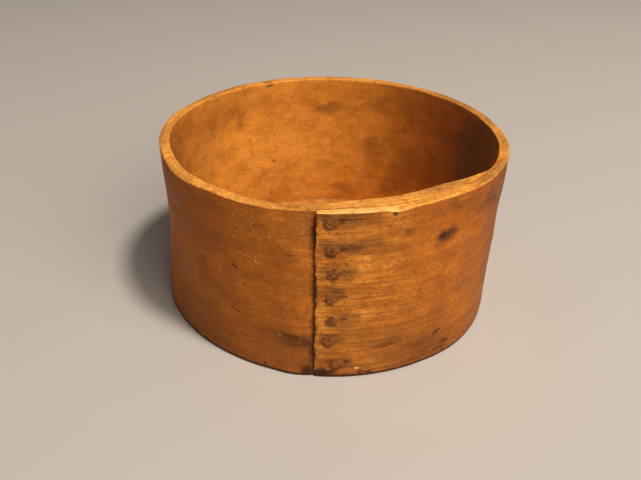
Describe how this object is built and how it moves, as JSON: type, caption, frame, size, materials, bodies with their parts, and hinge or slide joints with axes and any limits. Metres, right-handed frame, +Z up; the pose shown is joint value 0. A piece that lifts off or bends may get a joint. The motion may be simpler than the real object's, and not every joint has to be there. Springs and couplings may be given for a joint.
{
  "type": "bentwood measure",
  "caption": "Round open measure bent from one strip of wood, its lapped ends nailed through and clinched, with a pegged-in bottom board, for scooping and measuring dry goods.",
  "frame": {"origin": "on the axis of the band, in the plane of its lower edge, which it stands on", "axes": "+Z up along the band's axis; -Y towards the seam of the lap and its column of nails; +X to the right of someone facing the lap"},
  "size_m": [0.24, 0.2411, 0.122],
  "materials": {
    "band_wood": "aged orange-brown bent wood, worn smooth, golden at the rim",
    "board_wood": "dry sawn softwood, darkened by use",
    "peg_wood": "whittled hardwood, end grain showing",
    "nail_iron": "hand-forged iron, dark with old rust"
  },
  "bodies": {
    "root": {"side_band": "band_wood", "bottom_board": "board_wood", "lap_nail_1": "nail_iron", "lap_nail_2": "nail_iron", "lap_nail_3": "nail_iron", "lap_nail_4": "nail_iron", "lap_nail_5": "nail_iron", "lap_nail_6": "nail_iron", "lap_nail_7": "nail_iron", "bottom_peg_1": "peg_wood", "bottom_peg_2": "peg_wood", "bottom_peg_3": "peg_wood", "bottom_peg_4": "peg_wood", "bottom_peg_5": "peg_wood", "bottom_peg_6": "peg_wood", "bottom_peg_7": "peg_wood", "bottom_peg_8": "peg_wood", "bottom_peg_9": "peg_wood", "bottom_peg_10": "peg_wood", "bottom_peg_11": "peg_wood", "bottom_peg_12": "peg_wood"}
  },
  "joints": []
}
